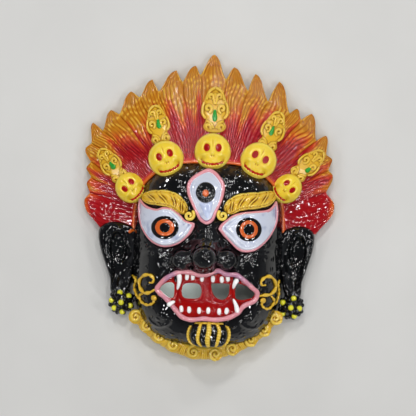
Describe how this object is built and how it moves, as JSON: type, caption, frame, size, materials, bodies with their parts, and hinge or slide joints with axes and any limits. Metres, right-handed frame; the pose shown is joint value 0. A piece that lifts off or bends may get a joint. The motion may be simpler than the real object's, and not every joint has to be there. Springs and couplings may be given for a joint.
{
  "type": "wall mask",
  "caption": "Hollow cast wall mask of a wrathful guardian face with a third eye, a fanged open mouth and a crown of flames and skulls, flat at the back.",
  "frame": {"origin": "middle of the mask's outline, on the plane of its flat back rim", "axes": "+Z out of the face, +Y from the chin to the crown, +X to the viewer's right"},
  "size_m": [0.2038, 0.25, 0.0715],
  "materials": {
    "black_enamel": "gloss black enamel over cast resin: face, ears, irises and bead clusters",
    "flame_enamel": "gloss enamel shaded from crimson at the hairline to amber at the tips of the flames",
    "yellow_enamel": "gloss yellow enamel: skulls, leaf ornaments and beads",
    "gilt_enamel": "golden yellow enamel over brown: brows, scrolls, chin stripes and beard",
    "white_enamel": "gloss white enamel: eyes and teeth",
    "pink_enamel": "gloss pink enamel: lips and eyelids",
    "red_enamel": "gloss red enamel: gums and the sockets of the skulls",
    "orange_enamel": "gloss orange enamel: irises and the roll along the hairline",
    "green_enamel": "gloss green enamel: the drops on the leaf ornaments"
  },
  "bodies": {
    "root": {"mask": "black_enamel"}
  },
  "joints": []
}
